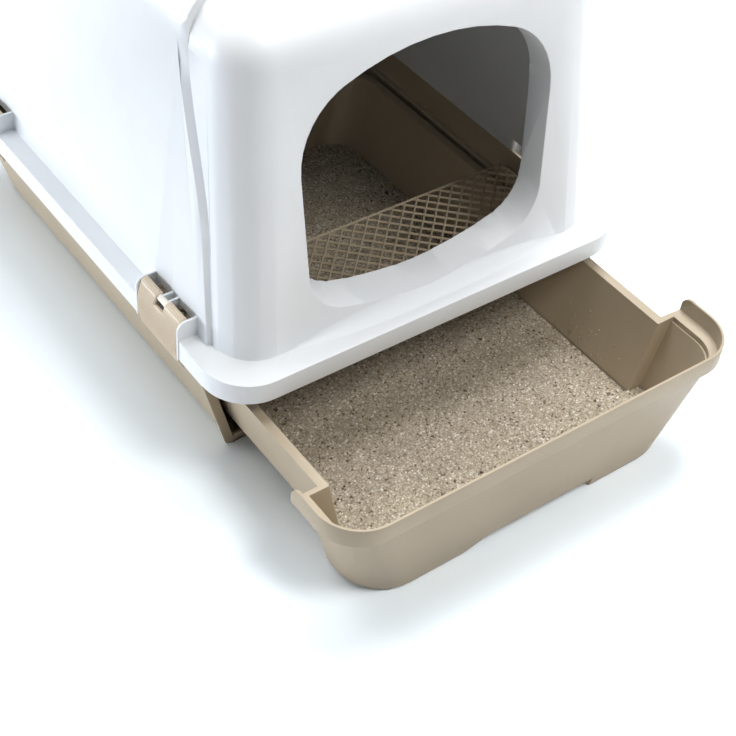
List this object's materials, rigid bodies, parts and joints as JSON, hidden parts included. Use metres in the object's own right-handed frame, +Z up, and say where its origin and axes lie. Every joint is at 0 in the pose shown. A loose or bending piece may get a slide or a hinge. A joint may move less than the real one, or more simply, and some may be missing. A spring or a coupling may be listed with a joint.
{
  "type": "drawer litter box",
  "caption": "Covered cat litter box with a pull-out litter drawer, a leaning hood with a round-cornered entrance, side latches, a step grate, a carry handle and a filter lid.",
  "frame": {"origin": "on the floor, at the middle of the hood's skirt from side to side and from front to back", "axes": "+Z up; +X to the box's left-hand side when it is seen from behind, that is to the right when the viewer faces the entrance; +Y from the entrance to the back; the drawer opens towards -Y"},
  "size_m": [0.4018, 0.665, 0.4],
  "materials": {
    "hood_white": "smooth satin-gloss polypropylene, cool white",
    "taupe_shell": "satin polypropylene, warm taupe",
    "taupe_trim": "satin polypropylene, warm taupe",
    "pin_ivory": "satin, ivory",
    "litter": "loose beige granules",
    "carbon_felt": "charcoal filter felt"
  },
  "bodies": {
    "box": {"base_tub": "taupe_shell", "hood_shell": "hood_white", "step_grate": "taupe_trim", "latch_pin_front_left": "pin_ivory", "latch_pin_front_right": "pin_ivory", "latch_pin_rear_left": "pin_ivory", "latch_pin_rear_right": "pin_ivory", "filter_pad": "carbon_felt"},
    "drawer": {"drawer_tray": "taupe_shell", "litter_bed": "litter"},
    "latch_front_left_body": {"latch_front_left": "taupe_trim"},
    "latch_front_right_body": {"latch_front_right": "taupe_trim"},
    "latch_rear_left_body": {"latch_rear_left": "taupe_trim"},
    "latch_rear_right_body": {"latch_rear_right": "taupe_trim"},
    "handle": {"carry_handle": "taupe_trim"},
    "lid": {"filter_lid": "taupe_trim"}
  },
  "joints": [
    {"name": "drawer_slide", "type": "slide", "parent": "box", "child": "drawer", "axis": [0, -1, 0], "range_m": [-0.142, 0.25]},
    {"name": "latch_front_left_hinge", "type": "hinge", "parent": "box", "child": "latch_front_left_body", "pos_m": [-0.1935, -0.154, 0.1435], "axis": [0, 1, 0], "range_deg": [0, 100]},
    {"name": "latch_front_right_hinge", "type": "hinge", "parent": "box", "child": "latch_front_right_body", "pos_m": [0.1935, -0.154, 0.1435], "axis": [0, -1, 0], "range_deg": [0, 100]},
    {"name": "latch_rear_left_hinge", "type": "hinge", "parent": "box", "child": "latch_rear_left_body", "pos_m": [-0.1935, 0.154, 0.1435], "axis": [0, 1, 0], "range_deg": [0, 100]},
    {"name": "latch_rear_right_hinge", "type": "hinge", "parent": "box", "child": "latch_rear_right_body", "pos_m": [0.1935, 0.154, 0.1435], "axis": [0, -1, 0], "range_deg": [0, 100]},
    {"name": "handle_hinge", "type": "hinge", "parent": "box", "child": "handle", "pos_m": [0, 0.01, 0.3935], "axis": [-1, 0, 0], "range_deg": [0, 90]},
    {"name": "filter_lid_hinge", "type": "hinge", "parent": "box", "child": "lid", "pos_m": [0, 0.1505, 0.3975], "axis": [-1, 0, 0], "range_deg": [0, 95]}
  ]
}
